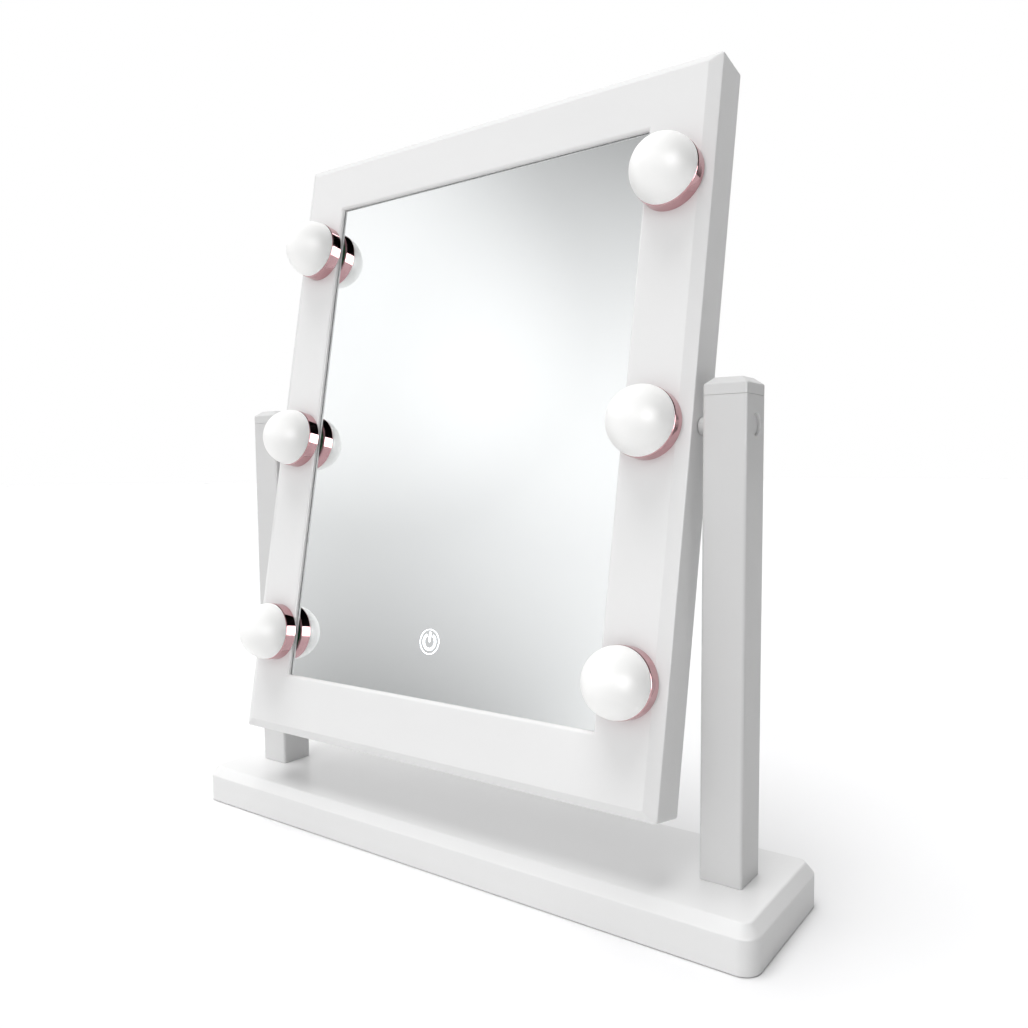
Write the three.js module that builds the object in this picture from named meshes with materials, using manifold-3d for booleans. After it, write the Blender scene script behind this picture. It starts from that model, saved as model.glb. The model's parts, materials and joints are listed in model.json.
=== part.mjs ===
// Tabletop vanity mirror with six bulbs: a weighted base, two posts, and a framed mirror that tilts between them.
// Millimetres, +Z up. The front faces -Y. The origin is under the middle of the overall box, on the table.
import * as THREE from 'three';
import * as BufferGeometryUtils from 'three/addons/utils/BufferGeometryUtils.js';
import Module from 'manifold-3d';

const wasm = await Module();
wasm.setup();

// ---------------------------------------------------------------- driving dimensions
const base = { width: 369, depth: 84, top: 21.6, wallTop: 16.4, inset: 4.3, corner: 8.5, wall: 2.6, bottom: 0.8 };
const foot = { radius: 7, recess: 1, fromEnd: 24, fromSide: 16 };
const plate = { thickness: 2, gap: 0.3 };
const ballast = { length: 290, depth: 50, height: 6.4 };
const post = {
  inner: 145.4, width: 20.8, depth: 21.2, seam: 242.3, edge: 1.6, wall: 2.4, innerEdge: 0.8, floor: 14.4,
};
const cap = { wallTop: 247, top: 250, inset: 4, skirt: 4 };
const bolt = { shank: 2, head: 4, headHeight: 1.8, tip: 33, boss: 6, headPlay: 0.4 };

const pivot = {
  height: 229.2, shank: 2.5, bore: 2.8, boss: 6.5, spacer: 4.1, recess: 5, recessDepth: 5,
  head: 4.4, headHeight: 2.2, plugPlay: 0.15, plugThickness: 1.3, plugSink: 1,
};
const bracket = { thickness: 5.4, halfLength: 10, halfHeight: 6, reach: 9, bore: 2.6 };
const tilt = 0.185;

const frame = {
  halfWidth: 140, top: 174.6, bottom: -177.9, front: 12.4, back: -11.6, wall: 2.4,
  bevelSide: 6, bevelEnd: 5, bevelDepth: 3.2, face: 2,
};
const aperture = { halfWidth: 105.4, top: 142.9, bottom: -142.9 };
const glass = { thickness: 3, lap: 4 };
const backing = 0.9;
const rear = { thickness: 2.2 };

const bulb = {
  x: 119.8, middle: -1, pitch: 117.8, dome: 16.6, wall: 1.3, wireHole: 3,
  ring: 16.8, ringHeight: 6.7, ringWall: 1.5, ringChamfer: 0.5,
};
const board = { radius: 14.2, thickness: 1.6, chip: 2.5, chipHeight: 0.8 };
const key = { x: 0, y: -112.7, radius: 9 };

const cell = { radius: 7.2, length: 49, nub: 2.7, nubLength: 1.1 };
const box = { x: 0, y: -70, halfWidth: 54.5, halfHeight: 16.2, wall: 1.2, floor: 0.8 };
const contact = { thickness: 0.6, fromWall: 0.2, fromEnd: 2 };
const door = { margin: 2.2, thickness: 1.5 };
const socket = { x: 62, y: -148, bodyWidth: 14, bodyHeight: 10, bodyDepth: 12, hole: 2.9, pin: 1 };
const control = { width: 56, height: 26, thickness: 1.6, driverHeight: 3, coil: 4, coilHeight: 5 };
const harness = { radius: 1.4, depth: 2, side: 115, top: 160, bottom: -160, corner: 9 };
const screw = {
  x: 124, top: 160, bottom: -164, head: 2.8, headHeight: 1.1, sink: 1.4, shank: 1.2, boss: 3.4, length: 11,
};

const gap = 0.3;
const slip = 0.2;
const facets = 16;
const roundFacets = 24;
const screwFacets = 12;
const boreFacets = 8;

// Depths in the head, measured along its outward normal from the pivot axis.
const facePlateBack = frame.front - frame.face;
const glassFront = facePlateBack - gap;
const glassBack = glassFront - glass.thickness;
const rearInner = frame.back + rear.thickness;

// ---------------------------------------------------------------- materials
const finish = (color, roughness, metalness = 0) => ({ color, roughness, metalness });
const finishes = {
  whitePlastic: finish(0xf1f1f0, 0.35),
  whiteInner: finish(0xe4e4e2, 0.55),
  opal: finish(0xffffff, 0.3),
  roseGold: finish(0xc98f88, 0.08, 1),
  silveredGlass: finish(0xe6e9ee, 0.02, 1),
  steel: finish(0x9a9c9f, 0.35, 1),
  rubber: finish(0x8d8f90, 0.8),
  foam: finish(0x3a3a3c, 0.9),
  circuit: finish(0x2e6b46, 0.5),
  cellSleeve: finish(0x5c6470, 0.4),
  blackPlastic: finish(0x1c1c1e, 0.45),
  cable: finish(0xd8d8d6, 0.5),
};

function part(name, geometry, finishName) {
  geometry.computeVertexNormals();
  const mesh = new THREE.Mesh(geometry, new THREE.MeshStandardMaterial(finishes[finishName]));
  mesh.name = name;
  return mesh;
}

// ---------------------------------------------------------------- shape helpers
function toSolid(geometry) {
  const bare = geometry.clone();
  bare.deleteAttribute('normal');
  bare.deleteAttribute('uv');
  const merged = BufferGeometryUtils.mergeVertices(bare, 1e-4);
  const vertProperties = new Float32Array(merged.attributes.position.array);
  const triVerts = new Uint32Array(merged.index.array);
  return new wasm.Manifold(new wasm.Mesh({ numProp: 3, vertProperties, triVerts }));
}

function toGeometry(solid) {
  const mesh = solid.getMesh();
  const geometry = new THREE.BufferGeometry();
  geometry.setAttribute('position', new THREE.BufferAttribute(new Float32Array(mesh.vertProperties), 3));
  geometry.setIndex(new THREE.BufferAttribute(new Uint32Array(mesh.triVerts), 1));
  return geometry;
}

function combine(body, { add = [], subtract = [] }) {
  let solid = toSolid(body);
  for (const piece of add) {
    solid = solid.add(toSolid(piece));
  }
  for (const piece of subtract) {
    solid = solid.subtract(toSolid(piece));
  }
  return toGeometry(solid);
}

function block([x0, x1], [y0, y1], [z0, z1]) {
  const geometry = new THREE.BoxGeometry(x1 - x0, y1 - y0, z1 - z0);
  return geometry.translate((x0 + x1) / 2, (y0 + y1) / 2, (z0 + z1) / 2);
}

// A cylinder along 'x' or 'z', from one station to another, centred on the other two coordinates.
function rod(axis, radius, [from, to], [a, b], sides = facets) {
  const geometry = new THREE.CylinderGeometry(radius, radius, to - from, sides);
  const middle = (from + to) / 2;
  if (axis === 'x') {
    return geometry.rotateZ(-Math.PI / 2).translate(middle, a, b);
  }
  return geometry.rotateX(Math.PI / 2).translate(a, b, middle);
}

// The outline of a rectangle with round corners, anticlockwise. A radius of 0 leaves four points.
function roundedOutline(x0, x1, y0, y1, radius, steps = 3) {
  const corners = [[x1, y1, 0], [x0, y1, 1], [x0, y0, 2], [x1, y0, 3]];
  const points = [];
  for (const [x, y, quarter] of corners) {
    const cx = x - Math.sign(x - (x0 + x1) / 2) * radius;
    const cy = y - Math.sign(y - (y0 + y1) / 2) * radius;
    const count = radius > 0 ? steps : 0;
    for (let i = 0; i <= count; i += 1) {
      const angle = (quarter + (count ? i / count : 0)) * Math.PI / 2;
      points.push([cx + radius * Math.cos(angle), cy + radius * Math.sin(angle)]);
    }
  }
  return points;
}

// A closed solid through convex outlines with equal point counts, stacked upwards in z.
function loft(levels) {
  const count = levels[0].outline.length;
  const positions = [];
  for (const { outline, z } of levels) {
    for (const [x, y] of outline) {
      positions.push(x, y, z);
    }
  }
  const index = [];
  for (let level = 0; level < levels.length - 1; level += 1) {
    for (let i = 0; i < count; i += 1) {
      const a = level * count + i;
      const b = level * count + (i + 1) % count;
      index.push(a, b, b + count, a, b + count, a + count);
    }
  }
  const last = (levels.length - 1) * count;
  for (let i = 1; i < count - 1; i += 1) {
    index.push(0, i + 1, i);
    index.push(last, last + i, last + i + 1);
  }
  const geometry = new THREE.BufferGeometry();
  geometry.setAttribute('position', new THREE.Float32BufferAttribute(positions, 3));
  geometry.setIndex(index);
  return geometry;
}

// A solid of revolution about z from [radius, z] points that start and end on the axis or close on themselves.
function turned(profile, sides) {
  const points = profile.map(([r, z]) => new THREE.Vector2(r, z));
  return new THREE.LatheGeometry(points, sides).rotateX(Math.PI / 2);
}

function arcPoints(radius, centre, fromAngle, toAngle, steps) {
  const points = [];
  for (let i = 0; i <= steps; i += 1) {
    const angle = fromAngle + (toAngle - fromAngle) * i / steps;
    points.push([radius * Math.cos(angle), centre + radius * Math.sin(angle)]);
  }
  return points;
}

// ---------------------------------------------------------------- base
function centredOutline(width, depth, inset, corner) {
  const x = width / 2 - inset;
  const y = depth / 2 - inset;
  return roundedOutline(-x, x, -y, y, corner - Math.min(inset, corner - 1.5));
}

function buildBase(group) {
  const outer = loft([
    { outline: centredOutline(base.width, base.depth, 0, base.corner), z: base.bottom },
    { outline: centredOutline(base.width, base.depth, 0, base.corner), z: base.wallTop },
    { outline: centredOutline(base.width, base.depth, base.inset, base.corner), z: base.top },
  ]);
  const hollowTop = base.top - base.wall;
  const hollow = loft([
    { outline: centredOutline(base.width, base.depth, base.wall, base.corner), z: base.bottom - 1 },
    { outline: centredOutline(base.width, base.depth, base.wall, base.corner), z: base.wallTop - base.wall / 2 },
    { outline: centredOutline(base.width, base.depth, base.wall + base.inset, base.corner), z: hollowTop },
  ]);
  const plateTop = base.bottom + plate.thickness;
  const bossBottom = plateTop + gap;
  const postX = post.inner + post.width / 2;
  const shell = toSolid(outer).subtract(toSolid(hollow));
  const bosses = [-postX, postX].map((x) => rod('z', bolt.boss, [bossBottom, hollowTop + 1], [x, 0]));
  const bores = [-postX, postX].map((x) => rod('z', bolt.shank + slip, [0, base.top + 1], [x, 0]));
  const cover = combine(toGeometry(shell), { add: bosses, subtract: bores });
  group.add(part('base_cover', cover, 'whitePlastic'));

  const plateInset = base.wall + plate.gap;
  const flat = loft([
    { outline: centredOutline(base.width, base.depth, plateInset, base.corner), z: base.bottom },
    { outline: centredOutline(base.width, base.depth, plateInset, base.corner), z: plateTop },
  ]);
  const footX = base.width / 2 - foot.fromEnd;
  const footY = base.depth / 2 - foot.fromSide;
  const feet = [
    ['front_left', -footX, -footY],
    ['front_right', footX, -footY],
    ['rear_left', -footX, footY],
    ['rear_right', footX, footY],
  ];
  const seatTop = base.bottom + foot.recess;
  const seats = feet.map(([, x, y]) => rod('z', foot.radius + slip, [0, seatTop], [x, y], roundFacets));
  const headHole = bolt.head + bolt.headPlay;
  const headHoles = [-postX, postX].map((x) => rod('z', headHole, [0, plateTop + 1], [x, 0]));
  group.add(part('base_plate', combine(flat, { subtract: [...seats, ...headHoles] }), 'whiteInner'));

  const bar = block(
    [-ballast.length / 2, ballast.length / 2],
    [-ballast.depth / 2, ballast.depth / 2],
    [plateTop + gap, plateTop + gap + ballast.height],
  );
  group.add(part('base_weight', bar, 'steel'));

  for (const [place, x, y] of feet) {
    const pad = rod('z', foot.radius, [0, seatTop], [x, y], roundFacets);
    group.add(part(`foot_${place}`, pad, 'rubber'));
  }
}

// ---------------------------------------------------------------- posts, caps and what holds them
function postOutline(centre, inset, corner) {
  const x = post.width / 2 - inset;
  const y = post.depth / 2 - inset;
  return roundedOutline(centre - x, centre + x, -y, y, corner, 2);
}

function buildPost(group, side, place) {
  const centre = side * (post.inner + post.width / 2);
  const innerFace = side * post.inner;
  const outerFace = side * (post.inner + post.width);
  const ordered = (a, b) => [Math.min(a, b), Math.max(a, b)];
  const postTop = post.seam - gap / 2;

  const column = loft([
    { outline: postOutline(centre, 0, post.edge), z: base.top },
    { outline: postOutline(centre, 0, post.edge), z: postTop },
  ]);
  const hollow = loft([
    { outline: postOutline(centre, post.wall, post.innerEdge), z: base.top + post.floor },
    { outline: postOutline(centre, post.wall, post.innerEdge), z: post.seam + 1 },
  ]);
  const pivotBoss = rod('x', pivot.boss, ordered(innerFace + side, outerFace - side), [0, pivot.height]);
  const recessFloor = outerFace - side * pivot.recessDepth;
  const pivotBore = rod('x', pivot.bore, ordered(innerFace - side, outerFace + side), [0, pivot.height]);
  const recess = rod('x', pivot.recess, ordered(recessFloor, outerFace + side), [0, pivot.height], roundFacets);
  const threaded = rod('z', bolt.shank + slip, [base.top - 1, base.top + post.floor - 1], [centre, 0]);
  const tube = toGeometry(toSolid(column).subtract(toSolid(hollow)));
  const body = combine(tube, { add: [pivotBoss], subtract: [pivotBore, recess, threaded] });
  group.add(part(`post_${place}`, body, 'whitePlastic'));

  const lid = loft([
    { outline: postOutline(centre, 0, post.edge), z: post.seam + gap / 2 },
    { outline: postOutline(centre, 0, post.edge), z: cap.wallTop },
    { outline: postOutline(centre, cap.inset, post.edge), z: cap.top },
  ]);
  const skirt = loft([
    { outline: postOutline(centre, post.wall + gap, post.innerEdge), z: post.seam - cap.skirt },
    { outline: postOutline(centre, post.wall + gap, post.innerEdge), z: post.seam + 1 },
  ]);
  group.add(part(`post_cap_${place}`, combine(lid, { add: [skirt] }), 'whitePlastic'));

  const headTop = base.bottom + plate.thickness;
  const fastener = combine(rod('z', bolt.head, [headTop - bolt.headHeight, headTop], [centre, 0]), {
    add: [rod('z', bolt.shank, [headTop - 1, bolt.tip], [centre, 0])],
  });
  group.add(part(`post_bolt_${place}`, fastener, 'steel'));

  const spacer = combine(
    rod('x', pivot.spacer, ordered(side * (frame.halfWidth + gap), innerFace - side * gap), [0, pivot.height]),
    { subtract: [rod('x', pivot.bore, ordered(side * frame.halfWidth, outerFace), [0, pivot.height])] },
  );
  group.add(part(`pivot_spacer_${place}`, spacer, 'whitePlastic'));

  const plugEnd = outerFace - side * pivot.plugSink;
  const plugSpan = ordered(plugEnd - side * pivot.plugThickness, plugEnd);
  const plug = rod('x', pivot.recess - pivot.plugPlay, plugSpan, [0, pivot.height], roundFacets);
  group.add(part(`pivot_plug_${place}`, plug, 'whitePlastic'));
}

// ---------------------------------------------------------------- head: frame, glass and rear cover
// In the head, x is to the right, y runs up the mirror and z comes out of its face; the origin is the pivot.
function frameOutline(insetSide, insetEnd) {
  return roundedOutline(
    -frame.halfWidth + insetSide, frame.halfWidth - insetSide,
    frame.bottom + insetEnd, frame.top - insetEnd, 0,
  );
}

function bulbPlaces() {
  const rows = [['top', 1], ['middle', 0], ['bottom', -1]];
  const places = [];
  for (const [side, sign] of [['left', -1], ['right', 1]]) {
    for (const [row, step] of rows) {
      places.push({ label: `${side}_${row}`, x: sign * bulb.x, y: bulb.middle + step * bulb.pitch });
    }
  }
  return places;
}

function screwPlaces() {
  return [
    ['top_left', -screw.x, screw.top],
    ['top_right', screw.x, screw.top],
    ['bottom_left', -screw.x, screw.bottom],
    ['bottom_right', screw.x, screw.bottom],
  ];
}

function buildFrame(group) {
  const shoulder = frame.front - frame.bevelDepth;
  const outer = loft([
    { outline: frameOutline(0, 0), z: frame.back },
    { outline: frameOutline(0, 0), z: shoulder },
    { outline: frameOutline(frame.bevelSide, frame.bevelEnd), z: frame.front },
  ]);
  const hollow = loft([
    { outline: frameOutline(frame.wall, frame.wall), z: frame.back - 1 },
    { outline: frameOutline(frame.wall, frame.wall), z: shoulder - frame.face / 2 },
    { outline: frameOutline(frame.bevelSide + 1, frame.bevelEnd + 1), z: facePlateBack },
  ]);
  const window = block(
    [-aperture.halfWidth, aperture.halfWidth],
    [aperture.bottom, aperture.top],
    [0, frame.front + 1],
  );
  const wireHoles = bulbPlaces().map(({ x, y }) => (
    rod('z', bulb.wireHole, [0, frame.front + 1], [x, y], boreFacets)
  ));
  const shaftHoles = [-1, 1].map((side) => {
    const ends = [side * (frame.halfWidth - 5), side * (frame.halfWidth + 1)].sort((a, b) => a - b);
    return rod('x', pivot.bore, ends, [0, 0]);
  });
  const bossBack = rearInner + gap;
  const bosses = screwPlaces().map(([, x, y]) => (
    rod('z', screw.boss, [bossBack, facePlateBack + 1], [x, y], screwFacets)
  ));
  const screwBores = screwPlaces().map(([, x, y]) => (
    rod('z', screw.shank + slip, [frame.back, 4], [x, y], boreFacets)
  ));
  const shell = toGeometry(toSolid(outer).subtract(toSolid(hollow)));
  const bezel = combine(shell, { add: bosses, subtract: [window, ...wireHoles, ...shaftHoles, ...screwBores] });
  group.add(part('front_bezel', bezel, 'whitePlastic'));

  const inner = frame.wall + gap;
  const panel = loft([
    { outline: frameOutline(inner, inner), z: frame.back },
    { outline: frameOutline(inner, inner), z: rearInner },
  ]);
  const doorway = block(
    [box.x - box.halfWidth - door.margin, box.x + box.halfWidth + door.margin],
    [box.y - box.halfHeight - door.margin, box.y + box.halfHeight + door.margin],
    [frame.back - 1, rearInner + 1],
  );
  const socketHole = block(
    [socket.x - socket.bodyWidth / 2 - gap, socket.x + socket.bodyWidth / 2 + gap],
    [socket.y - socket.bodyHeight / 2 - gap, socket.y + socket.bodyHeight / 2 + gap],
    [frame.back - 1, rearInner + 1],
  );
  const sinks = screwPlaces().map(([, x, y]) => (
    rod('z', screw.head + gap, [frame.back - 1, frame.back + screw.sink], [x, y], screwFacets)
  ));
  const clearances = screwPlaces().map(([, x, y]) => (
    rod('z', screw.shank + 2 * slip, [frame.back - 1, rearInner + 1], [x, y], boreFacets)
  ));
  const cover = combine(panel, { subtract: [doorway, socketHole, ...sinks, ...clearances] });
  group.add(part('rear_cover', cover, 'whitePlastic'));

  for (const [place, x, y] of screwPlaces()) {
    const headFrom = frame.back + 0.1;
    const head = rod('z', screw.head, [headFrom, headFrom + screw.headHeight], [x, y], screwFacets);
    const shank = rod('z', screw.shank, [headFrom + 0.5, frame.back + screw.length], [x, y], boreFacets);
    group.add(part(`cover_screw_${place}`, combine(head, { add: [shank] }), 'steel'));
  }
}

function buildGlass(group) {
  const sheet = block(
    [-aperture.halfWidth - glass.lap, aperture.halfWidth + glass.lap],
    [aperture.bottom - glass.lap, aperture.top + glass.lap],
    [glassBack, glassFront],
  );
  group.add(part('mirror_glass', sheet, 'silveredGlass'));

  const backingFront = glassBack - 0.1;
  const pad = block(
    [-aperture.halfWidth - glass.lap, aperture.halfWidth + glass.lap],
    [aperture.bottom - glass.lap, aperture.top + glass.lap],
    [backingFront - backing, backingFront],
  );
  const keyHole = rod('z', key.radius + 0.5, [0, glassFront], [key.x, key.y]);
  group.add(part('mirror_backing', combine(pad, { subtract: [keyHole] }), 'foam'));

  const sensor = rod('z', key.radius, [backingFront - backing, backingFront], [key.x, key.y]);
  group.add(part('touch_sensor', sensor, 'circuit'));
}

// ---------------------------------------------------------------- head: bulbs
function buildBulbs(group) {
  const ringBack = frame.front + gap;
  const ringFront = frame.front + bulb.ringHeight;
  const ringInner = bulb.ring - bulb.ringWall;
  const ringProfile = [
    [ringInner, ringBack], [bulb.ring, ringBack], [bulb.ring, ringFront - bulb.ringChamfer],
    [bulb.ring - bulb.ringChamfer, ringFront], [ringInner, ringFront], [ringInner, ringBack],
  ];
  const centre = ringFront;
  const start = gap / bulb.dome;
  const skirt = ringInner - 0.3;
  const skirtBack = ringBack + board.thickness + 1;
  const quarter = Math.PI / 2;
  const domeProfile = [
    ...arcPoints(bulb.dome - bulb.wall, centre, quarter, 0.2, 4),
    [skirt - bulb.wall, centre - 1],
    [skirt - bulb.wall, skirtBack],
    [skirt, skirtBack],
    [skirt, centre + gap],
    ...arcPoints(bulb.dome, centre, start, quarter, 6),
  ];
  domeProfile[0][0] = 0;
  domeProfile[domeProfile.length - 1][0] = 0;
  for (const { label, x, y } of bulbPlaces()) {
    const ring = part(`bulb_ring_${label}`, turned(ringProfile, roundFacets), 'roseGold');
    const dome = part(`bulb_dome_${label}`, turned(domeProfile, roundFacets), 'opal');
    const disc = rod('z', board.radius, [ringBack, ringBack + board.thickness], [0, 0]);
    const across = [-board.chip, board.chip];
    const chip = block(across, across, [ringBack + 1, ringBack + board.thickness + board.chipHeight]);
    const light = part(`led_board_${label}`, combine(disc, { add: [chip] }), 'circuit');
    for (const piece of [ring, dome, light]) {
      piece.position.set(x, y, 0);
      group.add(piece);
    }
  }
}

// ---------------------------------------------------------------- head: power and control
function buildBatteries(group) {
  const rimBack = rearInner + gap;
  const cellDepth = frame.back + door.thickness + gap + cell.radius;
  const trayFloor = cellDepth + cell.radius + slip;
  const [left, right] = [box.x - box.halfWidth, box.x + box.halfWidth];
  const [low, high] = [box.y - box.halfHeight, box.y + box.halfHeight];
  const tray = block([left, right], [low, high], [rimBack, trayFloor + box.floor]);
  const well = block(
    [left + box.wall, right - box.wall],
    [low + box.wall, high - box.wall],
    [rimBack - 1, trayFloor],
  );
  group.add(part('battery_box', combine(tray, { subtract: [well] }), 'whiteInner'));

  const inset = box.wall + contact.fromWall;
  const along = [low + contact.fromEnd, high - contact.fromEnd];
  for (const [place, from] of [['left', left + inset], ['right', right - inset - contact.thickness]]) {
    const strip = block([from, from + contact.thickness], along, [rimBack + 1, trayFloor - 1]);
    group.add(part(`battery_contact_${place}`, strip, 'steel'));
  }

  const cellProfile = [
    [0, 0], [cell.radius, 0], [cell.radius, cell.length], [cell.nub, cell.length],
    [cell.nub, cell.length + cell.nubLength], [0, cell.length + cell.nubLength],
  ];
  const rowOffset = cell.radius + 0.25;
  const full = cell.length + cell.nubLength;
  for (const [row, rowSign] of [['upper', 1], ['lower', -1]]) {
    for (const [column, columnSign] of [['left', -1], ['right', 1]]) {
      const body = part(`battery_cell_${row}_${column}`, turned(cellProfile, facets), 'cellSleeve');
      const start = columnSign < 0 ? -full - 0.4 : 0.4;
      const flipped = rowSign < 0;
      body.rotation.y = flipped ? -Math.PI / 2 : Math.PI / 2;
      body.position.set(box.x + start + (flipped ? full : 0), box.y + rowSign * rowOffset, cellDepth);
      group.add(body);
    }
  }

  const reach = door.margin - gap;
  const thick = [frame.back, frame.back + door.thickness];
  const lid = block([left - reach, right + reach], [low - reach, high + reach], thick);
  group.add(part('battery_door', lid, 'whitePlastic'));
}

function buildElectronics(group) {
  const controlFront = glassBack - 0.1 - backing - 0.5;
  const circuit = block(
    [key.x - control.width / 2, key.x + control.width / 2],
    [key.y - control.height / 2, key.y + control.height / 2],
    [controlFront - control.thickness, controlFront],
  );
  const boardBack = controlFront - 1;
  const driverSpan = [boardBack - control.driverHeight, boardBack];
  const driver = block([key.x + 6, key.x + 16], [key.y - 6, key.y + 2], driverSpan);
  const coil = rod('z', control.coil, [boardBack - control.coilHeight, boardBack], [key.x - 14, key.y + 2]);
  group.add(part('control_board', combine(circuit, { add: [driver, coil] }), 'circuit'));

  const shell = block(
    [socket.x - socket.bodyWidth / 2, socket.x + socket.bodyWidth / 2],
    [socket.y - socket.bodyHeight / 2, socket.y + socket.bodyHeight / 2],
    [frame.back, frame.back + socket.bodyDepth],
  );
  const mouth = rod('z', socket.hole, [frame.back - 1, frame.back + socket.bodyDepth - 2], [socket.x, socket.y]);
  const pinSpan = [frame.back + 1, frame.back + socket.bodyDepth - 1];
  const pin = rod('z', socket.pin, pinSpan, [socket.x, socket.y], boreFacets);
  const hollowed = combine(shell, { subtract: [mouth] });
  group.add(part('power_socket', combine(hollowed, { add: [pin] }), 'blackPlastic'));

  group.add(part('led_harness', harnessGeometry(), 'cable'));
}

// The lamp wiring: one sleeve from the control board round all four rails, with round corners.
function harnessGeometry() {
  const { side, top, bottom, corner, depth } = harness;
  const startX = key.x + control.width / 2 + 2;
  const route = new THREE.CurvePath();
  const at = (x, y) => new THREE.Vector3(x, y, depth);
  const stops = [
    at(startX, bottom), at(side, bottom), at(side, top), at(-side, top), at(-side, bottom + 40),
  ];
  let from = stops[0];
  for (let i = 1; i < stops.length - 1; i += 1) {
    const into = stops[i].clone().sub(from).setLength(corner);
    const out = stops[i + 1].clone().sub(stops[i]).setLength(corner);
    const bendStart = stops[i].clone().sub(into);
    const bendEnd = stops[i].clone().add(out);
    route.add(new THREE.LineCurve3(from, bendStart));
    route.add(new THREE.QuadraticBezierCurve3(bendStart, stops[i], bendEnd));
    from = bendEnd;
  }
  route.add(new THREE.LineCurve3(from, stops[stops.length - 1]));
  const section = new THREE.Shape();
  section.absarc(0, 0, harness.radius, 0, Math.PI * 2, false);
  const options = { extrudePath: route, steps: 60, curveSegments: 4, bevelEnabled: false };
  return new THREE.ExtrudeGeometry(section, options);
}

// ---------------------------------------------------------------- head: pivots
function buildPivots(group) {
  for (const [place, side] of [['left', -1], ['right', 1]]) {
    const span = (a, b) => [side * a, side * b].sort((p, q) => p - q);
    const headEnd = post.inner + post.width - pivot.recessDepth + slip;
    const shank = rod('x', pivot.shank, span(frame.halfWidth - bracket.reach, headEnd + 1), [0, 0]);
    const head = rod('x', pivot.head, span(headEnd, headEnd + pivot.headHeight), [0, 0]);
    group.add(part(`pivot_screw_${place}`, combine(shank, { add: [head] }), 'steel'));

    const nutOuter = frame.halfWidth - frame.wall - gap;
    const nut = block(
      span(nutOuter - bracket.thickness, nutOuter),
      [-bracket.halfLength, bracket.halfLength],
      [-bracket.halfHeight, bracket.halfHeight],
    );
    const bore = rod('x', bracket.bore, span(nutOuter - bracket.thickness - 1, nutOuter + 1), [0, 0]);
    group.add(part(`pivot_bracket_${place}`, combine(nut, { subtract: [bore] }), 'steel'));
  }
}

// ---------------------------------------------------------------- assembly
const assembly = new THREE.Group();
buildBase(assembly);
buildPost(assembly, -1, 'left');
buildPost(assembly, 1, 'right');

const head = new THREE.Group();
head.position.z = pivot.height;
head.rotation.x = Math.PI / 2 - tilt;
assembly.add(head);
buildFrame(head);
buildGlass(head);
buildBulbs(head);
buildBatteries(head);
buildElectronics(head);
buildPivots(head);

const mirror = new THREE.Group();
mirror.add(assembly);
const extent = new THREE.Box3().setFromObject(mirror, true);
assembly.position.y = -(extent.min.y + extent.max.y) / 2;

export default mirror;
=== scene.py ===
"""Looks of a lighted tabletop vanity mirror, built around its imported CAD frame.

The frame is in metres, +Z up, and the mirror faces -Y. Shapes here are worked out in millimetres, in one
of two spaces: TABLE, which is the row frame, and HEAD, where x is to the right, y runs up the glass and z
comes out of it, with the origin on the tilt axis.
"""

import json
import math

import bmesh
import bpy
from mathutils import Matrix, Vector


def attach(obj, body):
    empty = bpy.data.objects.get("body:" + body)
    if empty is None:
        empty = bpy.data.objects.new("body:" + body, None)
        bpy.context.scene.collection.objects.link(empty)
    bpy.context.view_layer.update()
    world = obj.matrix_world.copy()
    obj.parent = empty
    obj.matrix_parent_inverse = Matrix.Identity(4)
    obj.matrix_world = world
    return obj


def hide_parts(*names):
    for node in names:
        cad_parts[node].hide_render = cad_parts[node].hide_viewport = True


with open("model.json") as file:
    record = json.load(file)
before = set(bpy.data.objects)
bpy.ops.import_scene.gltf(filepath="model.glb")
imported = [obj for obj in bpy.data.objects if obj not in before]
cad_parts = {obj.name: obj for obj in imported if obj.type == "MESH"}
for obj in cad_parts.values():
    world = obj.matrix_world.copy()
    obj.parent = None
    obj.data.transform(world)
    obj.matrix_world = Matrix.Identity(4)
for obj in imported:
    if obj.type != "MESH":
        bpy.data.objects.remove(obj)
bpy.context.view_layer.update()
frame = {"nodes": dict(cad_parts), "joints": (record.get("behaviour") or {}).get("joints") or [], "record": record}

MM = 0.001
FINE = 96  # sides of a round piece that shows
SMALL = 32  # sides of a screw or a pin


# ---------------------------------------------------------------- spaces, read from the frame
def head_space():
    """The matrix from HEAD millimetres to the row frame, from the tilt axis and the way the glass faces."""
    tilt_joint = next(j for j in frame["joints"] if j["name"] == "mirror_tilt")
    faces = [p for p in frame["nodes"]["mirror_glass"].data.polygons if p.normal.y < 0]
    outward = max(faces, key=lambda p: p.area).normal
    lean = math.atan2(outward.z, -outward.y)
    turn = Matrix.Rotation(math.pi / 2 - lean, 4, "X")
    return Matrix.Translation(tilt_joint["pos_m"]) @ turn @ Matrix.Scale(MM, 4)


TABLE = Matrix.Scale(MM, 4)
HEAD = head_space()


def box_in(space, node):
    """The lowest and highest corner of a CAD node, in millimetres, in one of the two spaces."""
    into = space.inverted()
    points = [into @ v.co for v in frame["nodes"][node].data.vertices]
    low = Vector(min(p[i] for p in points) for i in range(3))
    high = Vector(max(p[i] for p in points) for i in range(3))
    return low, high


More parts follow.
